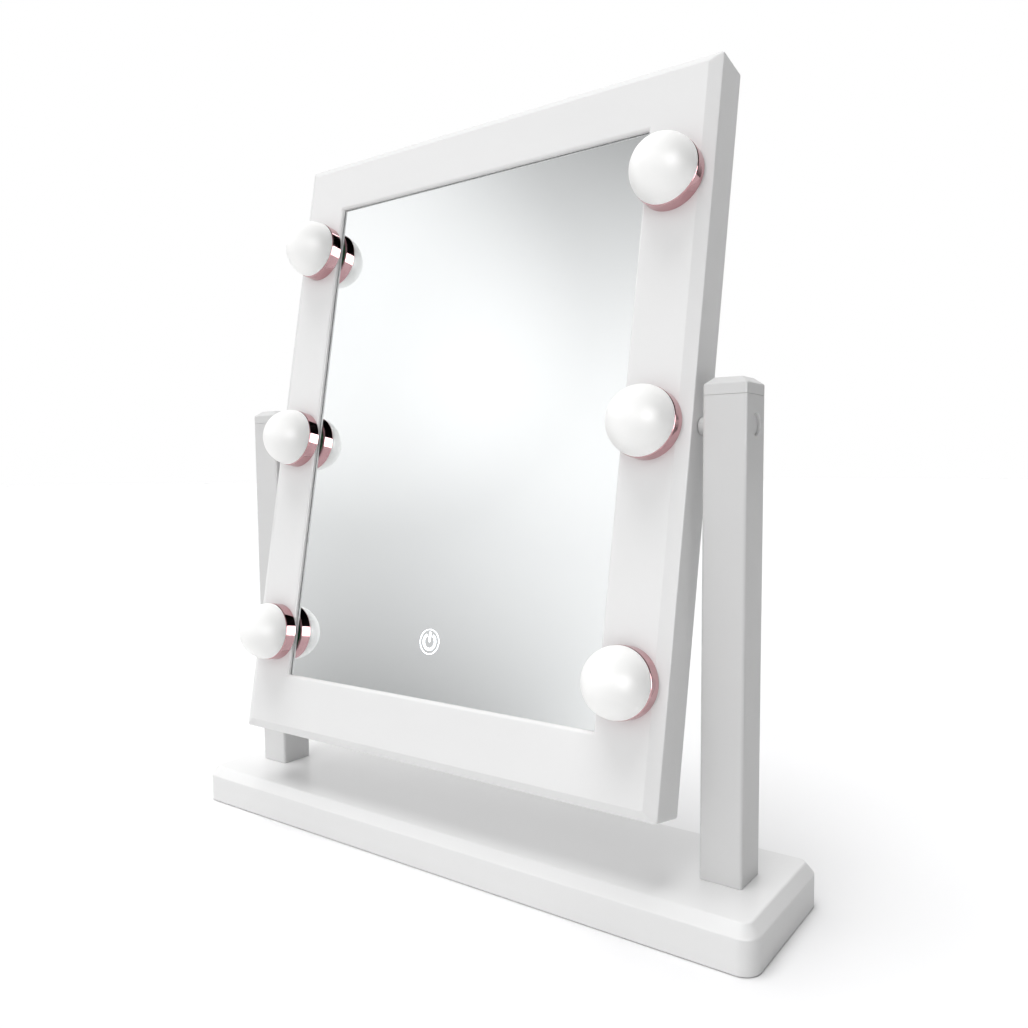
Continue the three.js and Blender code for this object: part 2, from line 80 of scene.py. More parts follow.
# ---------------------------------------------------------------- outlines
def fillet(corners, steps=5):
    """A closed outline from (a, b, radius) corners, each rounded. A radius of 0 keeps the corner."""
    points = []
    for i, (a, b, radius) in enumerate(corners):
        here = Vector((a, b))
        if radius == 0:
            points.append(here)
            continue
        to_last = (Vector(corners[i - 1][:2]) - here).normalized()
        to_next = (Vector(corners[(i + 1) % len(corners)][:2]) - here).normalized()
        half = to_last.angle(to_next) / 2
        centre = here + (to_last + to_next).normalized() * (radius / math.sin(half))
        first = here + to_last * (radius / math.tan(half)) - centre
        last = here + to_next * (radius / math.tan(half)) - centre
        start = math.atan2(first.y, first.x)
        turn = (math.atan2(last.y, last.x) - start + math.pi) % (2 * math.pi) - math.pi
        for step in range(steps + 1):
            angle = start + turn * step / steps
            points.append(centre + Vector((math.cos(angle), math.sin(angle))) * radius)
    return points


def rectangle(x0, x1, y0, y1, radius, steps=6):
    """A rectangle with round corners, anticlockwise."""
    return fillet([(x1, y1, radius), (x0, y1, radius), (x0, y0, radius), (x1, y0, radius)], steps)


def block(x, y, half_x, half_y, radius, steps):
    """A rectangle with round corners about a middle."""
    return rectangle(x - half_x, x + half_x, y - half_y, y + half_y, radius, steps)


def circle(x, y, radius, sides=SMALL):
    angles = [2 * math.pi * i / sides for i in range(sides)]
    return [Vector((x + radius * math.cos(a), y + radius * math.sin(a))) for a in angles]


def arc(radius, height, start, end, steps):
    """Points (radius, height) along an arc about (0, height), from one angle to another in degrees."""
    angles = [math.radians(start + (end - start) * i / steps) for i in range(steps + 1)]
    return [(radius * math.cos(a), height + radius * math.sin(a)) for a in angles]


def at_height(outline, z):
    return [Vector((p[0], p[1], z)) for p in outline]


def box_loops(low, high, rows, steps):
    """Loops round a box, in from its sides, from (inset, z, corner radius) rows."""
    return [
        at_height(rectangle(low.x + i, high.x - i, low.y + i, high.y - i, radius, steps), z)
        for i, z, radius in rows
    ]


# ---------------------------------------------------------------- solids
def loft(bm, loops, close=False, cap_first=False, cap_last=False):
    """Quads from each loop of points to the next one. All the loops have the same number of points."""
    rings = [[bm.verts.new(p) for p in loop] for loop in loops]
    pairs = list(zip(rings, rings[1:]))
    if close:
        pairs.append((rings[-1], rings[0]))
    for low, high in pairs:
        for i in range(len(low)):
            j = (i + 1) % len(low)
            bm.faces.new((low[i], low[j], high[j], high[i]))
    if cap_first:
        bm.faces.new(reversed(rings[0]))
    if cap_last:
        bm.faces.new(rings[-1])
    return rings


def turned(bm, profile, close=False, sides=FINE, place=None):
    """A solid of revolution about z from (radius, height) points; a point on the axis becomes a pole."""
    before = set(bm.verts)
    rings = []
    for radius, height in profile:
        if radius < 1e-6:
            rings.append([bm.verts.new((0, 0, height))])
        else:
            rings.append([bm.verts.new(p) for p in at_height(circle(0, 0, radius, sides), height)])
    pairs = list(zip(rings, rings[1:]))
    if close:
        pairs.append((rings[-1], rings[0]))
    for low, high in pairs:
        for i in range(sides):
            j = (i + 1) % sides
            corners = [low[i % len(low)], low[j % len(low)], high[j % len(high)], high[i % len(high)]]
            bm.faces.new(list(dict.fromkeys(corners)))
    if place is not None:
        bmesh.ops.transform(bm, matrix=place, verts=[v for v in bm.verts if v not in before])


def fill(bm, rings):
    """One flat face, in triangles, inside the first ring and outside the others."""
    edges = []  # in order, so that every run makes the same triangles
    for ring in rings:
        for i, vertex in enumerate(ring):
            edges.append(bm.edges.get((vertex, ring[(i + 1) % len(ring)])))
    bmesh.ops.triangle_fill(bm, edges=edges, use_beauty=True, use_dissolve=False)


def coil(bm, wide, narrow, length, turns, wire):
    """A conical spring that winds up along z."""
    steps_per_turn, wire_sides = 32, 10
    steps = round(turns * steps_per_turn)
    section = circle(0, 0, wire, wire_sides)
    loops = []
    for step in range(steps + 1):
        share = step / steps
        angle = 2 * math.pi * turns * share
        outward = Vector((math.cos(angle), math.sin(angle), 0))
        reach = wide + (narrow - wide) * share
        climb = wire + (length - 2 * wire) * share
        loops.append([outward * (reach + p.x) + Vector((0, 0, climb + p.y)) for p in section])
    loft(bm, loops, cap_first=True, cap_last=True)


def plate(bm, outer, holes):
    """A plate: outer is its loops from one face to the other, and each hole is its loops the same way round.

    A hole given as (loops, True) is blind: it ends in a floor instead of at the other face.
    """
    shell = loft(bm, outer)
    starts, ends = [shell[0]], [shell[-1]]
    for loops, blind in holes:
        rings = loft(bm, loops, cap_last=blind)
        starts.append(rings[0])
        if not blind:
            ends.append(rings[-1])
    fill(bm, starts)
    fill(bm, ends)


def cut(bm, cutter):
    """Subtracts one closed mesh from another and returns the result."""
    pieces = []
    for name, part in (("body", bm), ("cutter", cutter)):
        bmesh.ops.recalc_face_normals(part, faces=part.faces)
        mesh = bpy.data.meshes.new(name)
        part.to_mesh(mesh)
        part.free()
        thing = bpy.data.objects.new(name, mesh)
        bpy.context.scene.collection.objects.link(thing)
        pieces.append(thing)
    body, tool = pieces
    boolean = body.modifiers.new("cut", "BOOLEAN")
    boolean.operation = "DIFFERENCE"
    boolean.solver = "EXACT"
    boolean.object = tool
    evaluated = body.evaluated_get(bpy.context.evaluated_depsgraph_get())
    result = bmesh.new()
    result.from_mesh(evaluated.to_mesh())
    for thing in pieces:
        mesh = thing.data
        bpy.data.objects.remove(thing)
        bpy.data.meshes.remove(mesh)
    return result


def piece(name, bm, space, body, finish, stands_for=(), crease=35):
    """Makes a mesh in one of the spaces into a shown piece that rides on a body."""
    bmesh.ops.transform(bm, matrix=space, verts=bm.verts)
    bmesh.ops.recalc_face_normals(bm, faces=bm.faces)
    mesh = bpy.data.meshes.new(name)
    bm.to_mesh(mesh)
    bm.free()
    for polygon in mesh.polygons:
        polygon.use_smooth = True
    mesh.set_sharp_from_angle(angle=math.radians(crease))
    finishes = finish if isinstance(finish, (list, tuple)) else [finish]
    for entry in finishes:
        mesh.materials.append(entry)
    thing = bpy.data.objects.new(name, mesh)
    bpy.context.scene.collection.objects.link(thing)
    even = thing.modifiers.new("even_normals", "WEIGHTED_NORMAL")
    even.keep_sharp = True
    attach(thing, body)
    if stands_for:
        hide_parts(*stands_for)
    return thing


# ---------------------------------------------------------------- materials
class Finish:
    """A Principled material with short ways to vary its colour, roughness and surface over the object."""

    NOISE_LOW, NOISE_HIGH = 0.3, 0.7  # most noise values lie between these

    def __init__(self, name, colour, roughness, metallic=0.0):
        self.material = bpy.data.materials.new(name)
        self.material.use_nodes = True
        self.nodes = self.material.node_tree.nodes
        self.links = self.material.node_tree.links
        self.shader = self.nodes["Principled BSDF"]
        self.set("Base Color", (*colour, 1))
        self.set("Roughness", roughness)
        self.set("Metallic", metallic)
        self.place = self.nodes.new("ShaderNodeTexCoord").outputs["Object"]
        self.bumps = None

    def set(self, socket, value):
        self.shader.inputs[socket].default_value = value

    def noise(self, scale, detail=3.0, stretch=(1, 1, 1)):
        """Noise whose features are about 1 / scale metres across, stretched along the axes."""
        mapping = self.nodes.new("ShaderNodeMapping")
        mapping.inputs["Scale"].default_value = stretch
        self.links.new(self.place, mapping.inputs["Vector"])
        texture = self.nodes.new("ShaderNodeTexNoise")
        texture.inputs["Scale"].default_value = scale
        texture.inputs["Detail"].default_value = detail
        self.links.new(mapping.outputs["Vector"], texture.inputs["Vector"])
        return texture.outputs["Fac"]

    def cells(self, scale, feature="F1"):
        texture = self.nodes.new("ShaderNodeTexVoronoi")
        texture.feature = feature
        texture.inputs["Scale"].default_value = scale
        self.links.new(self.place, texture.inputs["Vector"])
        return texture.outputs["Distance"]

    def steps(self, factor, stops, interpolation="LINEAR"):
        """A colour ramp over the factor, from (position, colour) stops."""
        ramp = self.nodes.new("ShaderNodeValToRGB")
        ramp.color_ramp.interpolation = interpolation
        while len(ramp.color_ramp.elements) < len(stops):
            ramp.color_ramp.elements.new(0.5)
        for element, (position, colour) in zip(ramp.color_ramp.elements, stops):
            element.position = position
            element.color = (*colour, 1)
        self.links.new(factor, ramp.inputs["Fac"])
        return ramp.outputs["Color"]

    def colour(self, factor, stops, interpolation="LINEAR"):
        self.links.new(self.steps(factor, stops, interpolation), self.shader.inputs["Base Color"])

    def roughness(self, factor, low, high):
        span = self.nodes.new("ShaderNodeMapRange")
        span.inputs["From Min"].default_value = self.NOISE_LOW
        span.inputs["From Max"].default_value = self.NOISE_HIGH
        span.inputs["To Min"].default_value = low
        span.inputs["To Max"].default_value = high
        self.links.new(factor, span.inputs["Value"])
        self.links.new(span.outputs["Result"], self.shader.inputs["Roughness"])

    def bump(self, height, strength, depth):
        """Adds relief of about that depth in metres, on top of any that is there."""
        node = self.nodes.new("ShaderNodeBump")
        node.inputs["Strength"].default_value = strength
        node.inputs["Distance"].default_value = depth
        self.links.new(height, node.inputs["Height"])
        if self.bumps is not None:
            self.links.new(self.bumps, node.inputs["Normal"])
        self.bumps = node.outputs["Normal"]
        self.links.new(self.bumps, self.shader.inputs["Normal"])


def make_white_plastic(name, shade):
    """White moulded plastic with a satin gloss, and the faint waviness and orange peel of its tool."""
    finish = Finish(name, (shade, shade, shade), 0.3)
    change = 0.006
    darker, lighter = [shade - change] * 3, [shade + change] * 3
    finish.colour(finish.noise(9, 2), [(0.3, darker), (0.7, lighter)])
    finish.roughness(finish.noise(30, 3), 0.29, 0.33)
    finish.bump(finish.noise(2500, 1), 0.05, 0.00001)
    finish.bump(finish.noise(12, 1), 0.05, 0.0002)
    finish.set("IOR", 1.5)
    finish.set("Coat Weight", 0.25)
    finish.set("Coat Roughness", 0.12)
    return finish.material


def make_white_inner():
    """The matt inside of the mouldings, with a fine spark texture."""
    finish = Finish("white_inner", (0.74, 0.74, 0.73), 0.6)
    finish.colour(finish.noise(30, 4), [(0.3, (0.7, 0.7, 0.69)), (0.7, (0.77, 0.77, 0.76))])
    finish.roughness(finish.noise(120, 3), 0.5, 0.68)
    finish.bump(finish.noise(1800, 3), 0.5, 0.00005)
    return finish.material


def make_rose_gold():
    """Polished rose-gold plating, with faint turning lines and a little haze."""
    finish = Finish("rose_gold", (0.62, 0.38, 0.4), 0.07, 1.0)
    finish.colour(finish.noise(60, 3), [(0.3, (0.58, 0.34, 0.36)), (0.7, (0.66, 0.42, 0.44))])
    finish.roughness(finish.noise(160, 4), 0.04, 0.11)
    finish.bump(finish.noise(900, 2, (0.15, 0.15, 1)), 0.08, 0.00002)
    return finish.material


def make_opal():
    """The opal lamp globes: a satin milky skin that glows from inside."""
    finish = Finish("opal_globe", (0.9, 0.9, 0.89), 0.28)
    finish.colour(finish.noise(90, 3), [(0.3, (0.88, 0.88, 0.875)), (0.7, (0.92, 0.92, 0.91))])
    finish.roughness(finish.noise(220, 3), 0.4, 0.48)
    finish.bump(finish.noise(2500, 1), 0.05, 0.00001)
    finish.set("Subsurface Weight", 0.25)
    finish.set("Subsurface Radius", (0.006, 0.006, 0.006))
    finish.set("IOR", 1.9)
    finish.set("Coat Weight", 0.5)
    finish.set("Coat Roughness", 0.4)
    finish.set("Emission Color", (1.0, 0.99, 0.98, 1))
    finish.set("Emission Strength", 0.125)
    return finish.material


def make_mark():
    """The touch mark, which glows. Part of the glow is the mark's own light, and part is painted light that stands
    in for the studio light the clear glass in front keeps off it.
    """
    finish = Finish("touch_glow_partly_painted", (0.9, 0.92, 0.95), 0.5)
    finish.colour(finish.noise(800, 2), [(0.3, (0.85, 0.88, 0.92)), (0.7, (0.95, 0.96, 0.98))])
    # Part of this emission is painted light: it stands in for the studio light that the glass keeps off the mark.
    finish.set("Emission Color", (0.96, 0.98, 1.0, 1))
    finish.set("Emission Strength", 1.15)
    return finish.material


def make_silver():
    """The silvering behind the glass."""
    finish = Finish("silvering", (0.93, 0.93, 0.945), 0.015, 1.0)
    finish.colour(finish.noise(9, 3), [(0.3, (0.925, 0.925, 0.94)), (0.7, (0.94, 0.94, 0.952))])
    finish.roughness(finish.noise(20, 4), 0.008, 0.022)
    return finish.material


def make_glass():
    """Clear float glass, with the faint waviness of its face."""
    finish = Finish("float_glass", (0.985, 0.995, 0.99), 0.0)
    finish.set("Transmission Weight", 1.0)
    finish.set("IOR", 1.5)
    finish.bump(finish.noise(7, 1), 0.02, 0.0004)
    return finish.material


def make_steel():
    """Zinc-plated steel, with fine drawn lines and a mottled haze."""
    finish = Finish("plated_steel", (0.62, 0.63, 0.64), 0.3, 1.0)
    finish.colour(finish.noise(150, 4), [(0.3, (0.55, 0.56, 0.58)), (0.7, (0.68, 0.68, 0.69))])
    finish.roughness(finish.noise(400, 4), 0.22, 0.42)
    finish.bump(finish.noise(1200, 2, (1, 0.1, 0.1)), 0.2, 0.00004)
    return finish.material


def make_rubber():
    """Soft grey rubber pads with a dusty bloom."""
    finish = Finish("rubber_pad", (0.4, 0.41, 0.42), 0.8)
    finish.colour(finish.noise(200, 5), [(0.35, (0.34, 0.35, 0.36)), (0.7, (0.46, 0.47, 0.48))])
    finish.roughness(finish.noise(300, 3), 0.7, 0.9)
    finish.bump(finish.cells(1400), 0.5, 0.0001)
    return finish.material


def make_foam():
    finish = Finish("foam_backing", (0.05, 0.05, 0.055), 0.95)
    finish.colour(finish.noise(300, 4), [(0.3, (0.035, 0.035, 0.04)), (0.7, (0.075, 0.075, 0.08))])
    finish.bump(finish.cells(1800), 0.8, 0.0002)
    return finish.material


def make_circuit():
    """Green solder mask with the copper tracks showing faintly under it."""
    finish = Finish("circuit_board", (0.03, 0.22, 0.09), 0.4)
    tracks = finish.cells(260, "DISTANCE_TO_EDGE")
    finish.colour(tracks, [(0.03, (0.07, 0.33, 0.13)), (0.06, (0.02, 0.17, 0.07))])
    finish.roughness(finish.noise(500, 3), 0.3, 0.5)
    finish.bump(tracks, 0.3, 0.0001)
    return finish.material


def make_cell_sleeve(low, high):
    """A printed cell sleeve: slate blue with a pale band at one end of each cell, along x."""
    finish = Finish("cell_sleeve", (0.1, 0.16, 0.27), 0.32)
    split = finish.nodes.new("ShaderNodeSeparateXYZ")
    finish.links.new(finish.place, split.inputs["Vector"])
    span = finish.nodes.new("ShaderNodeMapRange")
    span.inputs["From Min"].default_value = low * MM
    span.inputs["From Max"].default_value = high * MM
    finish.links.new(split.outputs["X"], span.inputs["Value"])
    slate, pale = (0.07, 0.12, 0.22), (0.72, 0.74, 0.76)
    bands = [(0.0, slate), (0.1, pale), (0.115, slate), (0.5, slate), (0.6, pale), (0.615, slate)]
    finish.colour(span.outputs["Result"], bands, "CONSTANT")
    finish.roughness(finish.noise(300, 3), 0.24, 0.4)
    finish.bump(finish.noise(500, 2), 0.1, 0.00004)
    finish.set("Coat Weight", 0.4)
    return finish.material


def make_black_plastic():
    finish = Finish("black_plastic", (0.018, 0.018, 0.02), 0.42)
    finish.colour(finish.noise(150, 3), [(0.3, (0.012, 0.012, 0.014)), (0.7, (0.028, 0.028, 0.03))])
    finish.roughness(finish.noise(250, 3), 0.35, 0.52)
    finish.bump(finish.noise(1600, 3), 0.4, 0.00006)
    return finish.material


def make_cable():
    finish = Finish("cable_sleeve", (0.66, 0.66, 0.65), 0.5)
    finish.colour(finish.noise(120, 3), [(0.3, (0.6, 0.6, 0.59)), (0.7, (0.72, 0.72, 0.71))])
    finish.bump(finish.noise(700, 2), 0.3, 0.0001)
    return finish.material


def make_floor():
    """White paper. It is greyer to every ray but the camera's, so it throws less light on the object."""
    bounce = (0.72, 0.72, 0.72, 1)
    finish = Finish("studio_floor", (0.92, 0.92, 0.925), 0.75)
    finish.colour(finish.noise(3, 3), [(0.3, (0.915, 0.915, 0.92)), (0.7, (0.93, 0.93, 0.935))])
    finish.set("Specular IOR Level", 0.1)
    seen = finish.nodes.new("ShaderNodeLightPath").outputs["Is Camera Ray"]
    mix = finish.nodes.new("ShaderNodeMix")
    mix.data_type = "RGBA"
    mix.inputs["A"].default_value = bounce
    finish.links.new(seen, mix.inputs["Factor"])
    paint = finish.shader.inputs["Base Color"]
    finish.links.new(paint.links[0].from_socket, mix.inputs["B"])
    finish.links.new(mix.outputs["Result"], paint)
    return finish.material


# ---------------------------------------------------------------- studio
def make_camera():
    """The camera stands to the right of the mirror and looks back at it, a little downwards."""
    yaw, pitch, roll = 0.6209, -0.0791, -0.0077
    place = (0.3107, -0.3699, 0.2074)
    flat = math.cos(pitch)
    forward = Vector((-math.sin(yaw) * flat, math.cos(yaw) * flat, math.sin(pitch)))
    level = Vector((math.cos(yaw), math.sin(yaw), 0))
    upright = level.cross(forward)
    right = level * math.cos(roll) + upright * math.sin(roll)
    up = upright * math.cos(roll) - level * math.sin(roll)
    data = bpy.data.cameras.new("camera")
    data.sensor_width = 36
    data.lens = 30.946
    data.shift_x = -0.0112
    data.shift_y = 0.031
    data.clip_start = 0.01
    camera = bpy.data.objects.new("camera", data)
    aim = Matrix((right, up, -forward)).transposed().to_4x4()
    camera.matrix_world = Matrix.Translation(place) @ aim
    bpy.context.scene.collection.objects.link(camera)
    bpy.context.scene.camera = camera


LOBES = [
    # the way to each glow, the cosines between which it rises, and its strength; all but the last were fitted
    # to the greys that the glass should show
    ((-0.49, -0.71, 0.50), 0.951, 1.0, 0.115),
    ((-0.70, -0.59, 0.41), 0.970, 1.0, 0.22),
    ((0.01, -0.98, 0.18), 0.654, 1.0, 1.44),
    ((-0.86, -0.39, 0.33), 0.787, 1.0, 0.91),
    ((-0.40, 0.80, 0.50), 0.2, 1.0, 0.88),
]
LAMPS = [
    # name, the side it comes from, its spread in degrees, its strength, and whether it only gives highlights
    ("front", (-0.15, -1.0, 1.2), 30, 0.22, False),
    ("overhead", (-0.10, -0.15, 1.0), 40, 2.03, False),
    ("highlight", (0.74, -0.62, 0.20), 34, 1.7, True),
]


def make_world():
    """Soft glows in front, to the left and high behind, dark to the right. The camera sees plain white."""
    world = bpy.data.worlds.new("studio")
    bpy.context.scene.world = world
    world.use_nodes = True
    nodes, links = world.node_tree.nodes, world.node_tree.links
    direction = nodes.new("ShaderNodeTexCoord").outputs["Generated"]

    light = None
    for towards, low, high, strength in LOBES:
        dot = nodes.new("ShaderNodeVectorMath")
        dot.operation = "DOT_PRODUCT"
        dot.inputs[1].default_value = Vector(towards).normalized()
        links.new(direction, dot.inputs[0])
        rise = nodes.new("ShaderNodeMapRange")
        rise.interpolation_type = "SMOOTHSTEP"
        rise.inputs["From Min"].default_value = low
        rise.inputs["From Max"].default_value = high
        rise.inputs["To Max"].default_value = strength
        links.new(dot.outputs["Value"], rise.inputs["Value"])
        total = nodes.new("ShaderNodeMath")
        total.operation = "ADD"
        links.new(rise.outputs["Result"], total.inputs[0])
        total.inputs[1].default_value = 0.0
        if light is not None:
            links.new(light, total.inputs[1])
        light = total.outputs["Value"]
    background = nodes["Background"]
    links.new(light, background.inputs["Strength"])
    background.inputs["Color"].default_value = (1.0, 1.0, 1.0, 1)

    plain = nodes.new("ShaderNodeBackground")
    plain.inputs["Color"].default_value = (1.0, 1.0, 1.0, 1)
    path = nodes.new("ShaderNodeLightPath")
    mix = nodes.new("ShaderNodeMixShader")
    links.new(path.outputs["Is Camera Ray"], mix.inputs["Fac"])
    links.new(background.outputs["Background"], mix.inputs[1])
    links.new(plain.outputs["Background"], mix.inputs[2])
    links.new(mix.outputs["Shader"], nodes["World Output"].inputs["Surface"])


def make_lights():
    """Suns with a wide spread, which light the whole floor evenly: they light matt surfaces or give gloss."""
    for name, source, spread, strength, highlights in LAMPS:
        data = bpy.data.lights.new(name, "SUN")
        data.angle = math.radians(spread)
        data.energy = strength
        light = bpy.data.objects.new(name, data)
        light.rotation_euler = Vector(source).to_track_quat("Z", "Y").to_euler()
        light.visible_diffuse = not highlights
        light.visible_glossy = highlights
        bpy.context.scene.collection.objects.link(light)


def make_floor_piece():
    mesh = bpy.data.meshes.new("floor")
    reach = 30
    corners = [(-reach, -reach, 0), (reach, -reach, 0), (reach, reach, 0), (-reach, reach, 0)]
    mesh.from_pydata(corners, [], [(0, 1, 2, 3)])
    mesh.materials.append(make_floor())
    floor = bpy.data.objects.new("floor", mesh)
    bpy.context.scene.collection.objects.link(floor)


# ---------------------------------------------------------------- base
def make_base(white, rubber):
    """The base shell, open underneath, with a bevel round its top."""
    low, high = box_in(TABLE, "base_cover")
    wall, corner, chamfer, bevel_inset = 2.6, 8.5, 5.2, 4.3
    sharpest, rim_round, bevel_round = 1.5, 0.25, 1.6
    flat_reach = 20  # how far in the top stops being a strip and becomes one face
    top, shoulder, rim = high.z, high.z - chamfer, low.z / 2
    profile = fillet([
        (0, rim, rim_round),
        (0, shoulder, bevel_round),
        (bevel_inset, top, bevel_round),
        (flat_reach, top, 0),
        (flat_reach, top - wall, 0),
        (wall + bevel_inset, top - wall, 0),
        (wall, shoulder - wall / 2, 0.5),
        (wall, rim, rim_round),
    ], 6)
    loops = box_loops(low, high, [(i, z, max(corner - i, sharpest)) for i, z in profile], 10)
    split = next(i for i, (inset, z) in enumerate(profile) if inset == flat_reach)
    bm = bmesh.new()
    loft(bm, loops[split + 1:] + loops[:split + 1], cap_first=True, cap_last=True)
    piece("base_shell", bm, TABLE, "base", white, ["base_cover"])

    for place in ("front_left", "front_right", "rear_left", "rear_right"):
        low, high = box_in(TABLE, f"foot_{place}")
        centre = (low + high) / 2
        radius = (high.x - low.x) / 2
        bm = bmesh.new()
        corners = [(0, low.z, 0), (radius, low.z, 0.35), (radius, high.z, 0.2), (0, high.z, 0)]
        turned(bm, fillet(corners, 4), place=Matrix.Translation((centre.x, centre.y, 0)))
        piece(f"rubber_pad_{place}", bm, TABLE, "base", rubber, [f"foot_{place}"])


# ---------------------------------------------------------------- posts
def make_post(side, sign, white):
    """A post with a round recess for the pivot, its plug, the cap on top and the spacer inside. All of it gets the
    darker copy of the white plastic, and that darkness is painted shade: the posts are the same plastic as the
    frame and only take less light.
    """
    low, high = box_in(TABLE, f"post_{side}")
    axis = HEAD.translation / MM
    outer_face = high.x if sign > 0 else low.x
    edge = 1.6
    bm = bmesh.new()
    loft(bm, box_loops(low, high, [
        (0.25, low.z, edge - 0.25),
        (0.0, low.z + 0.25, edge),
        (0.0, high.z - 0.15, edge),
        (0.05, high.z - 0.05, edge - 0.05),
        (0.15, high.z, edge - 0.15),
    ], 6), cap_first=True, cap_last=True)
    recess, lip, depth = 5.0, 0.35, 2.6
    cutter = bmesh.new()
    outward = Matrix.Rotation(sign * math.pi / 2, 4, "Y")
    turned(cutter, [
        (0, -depth), (recess, -depth), (recess, -lip),
        *[(recess + lip - lip * math.cos(a), -lip + lip * math.sin(a)) for a in (0.5, 1.0, 1.5)],
        (recess + lip, 1), (0, 1),
    ], place=Matrix.Translation((outer_face, axis.y, axis.z)) @ outward)
    column = cut(bm, cutter)
    piece(f"post_column_{side}", column, TABLE, "base", white, [f"post_{side}"], 30)

    plug_low, plug_high = box_in(TABLE, f"pivot_plug_{side}")
    plug_radius = (plug_high.z - plug_low.z) / 2
    thickness = plug_high.x - plug_low.x
    bm = bmesh.new()
    face = [(0, 0.0)] + [(plug_radius * r, -0.12 * r * r) for r in (0.3, 0.55, 0.75)]
    rim = [(plug_radius - 0.3, -0.16), (plug_radius - 0.08, -0.26), (plug_radius, -0.5)]
    spot = Matrix.Translation((plug_high.x if sign > 0 else plug_low.x, axis.y, axis.z))
    turned(bm, face + rim + [(plug_radius, -thickness), (0, -thickness)], place=spot @ outward)
    piece(f"pivot_cover_{side}", bm, TABLE, "base", white, [f"pivot_plug_{side}"])

    low, high = box_in(TABLE, f"post_cap_{side}")
    seam = box_in(TABLE, f"post_{side}")[1].z + 0.08
    bevel_height, bevel_inset, bevel_round, core = 3, 4, 0.9, 9
    profile = fillet([
        (0, seam, 0.12),
        (0, high.z - bevel_height, bevel_round),
        (bevel_inset, high.z, bevel_round),
        (core, high.z, 0),
        (core, seam, 0),
    ])[:-1]
    loops = box_loops(low, high, [(i, z, max(edge - 0.3 * i, 0.4)) for i, z in profile], 6)
    bm = bmesh.new()
    loft(bm, loops, cap_first=True, cap_last=True)
    piece(f"post_top_{side}", bm, TABLE, "base", white, [f"post_cap_{side}"])

    low, high = box_in(TABLE, f"pivot_spacer_{side}")
    radius, bore = (high.z - low.z) / 2, 2.8
    length = high.x - low.x
    outline = fillet([(bore, 0, 0), (radius, 0, 0.4), (radius, length, 0.4), (bore, length, 0)], 4)
    along_x = Matrix.Translation((low.x, axis.y, axis.z)) @ Matrix.Rotation(math.pi / 2, 4, "Y")
    bm = bmesh.new()
    turned(bm, outline, close=True, sides=64, place=along_x)
    piece(f"pivot_washer_{side}", bm, TABLE, "base", white, [f"pivot_spacer_{side}"])


# ---------------------------------------------------------------- head: bezel, glass and touch mark
def make_bezel(white):
    """The moulded front: bevelled outside, with a window for the glass and a wall back to the cover."""
    low, high = box_in(HEAD, "front_bezel")
    glass_low, glass_high = box_in(HEAD, "mirror_glass")
    lap, wall, lip_gap, bevel_depth = 4.0, 2.4, 0.05, 3.2
    back = glass_high.z + lip_gap
    steps = 6
    window = (glass_low.x + lap, glass_high.x - lap, glass_low.y + lap, glass_high.y - lap)
    insets = (window[0] - low.x, high.x - window[1], window[2] - low.y, high.y - window[3])
    bevels = (6, 6, 5, 5)
    profiles = []
    for reach, bevel in zip(insets, bevels):
        profiles.append(fillet([
            (0, low.z, 1.5),
            (0, high.z - bevel_depth, 1.0),
            (bevel, high.z, 1.0),
            (reach, high.z, 1.9),
            (reach, back, 0.15),
            (bevel + 1, back, 0.5),
            (wall, back - bevel_depth, 0.5),
            (wall, low.z, 0.3),
        ], steps))
    corner_radii = [1.3, 1.3, 0.9, 0.45, 0.45, 0.5, 0.5, 0.5]
    loops = []
    for index, points in enumerate(zip(*profiles)):
        left, right, bottom, top = (p.x for p in points)
        z = sum(p.y for p in points) / len(points)
        radius = corner_radii[index // (steps + 1)]
        outline = rectangle(low.x + left, high.x - right, low.y + bottom, high.y - top, radius, 5)
        loops.append(at_height(outline, z))
    bm = bmesh.new()
    loft(bm, loops, close=True)
    piece("bezel", bm, HEAD, "mirror_head", white, ["front_bezel"])


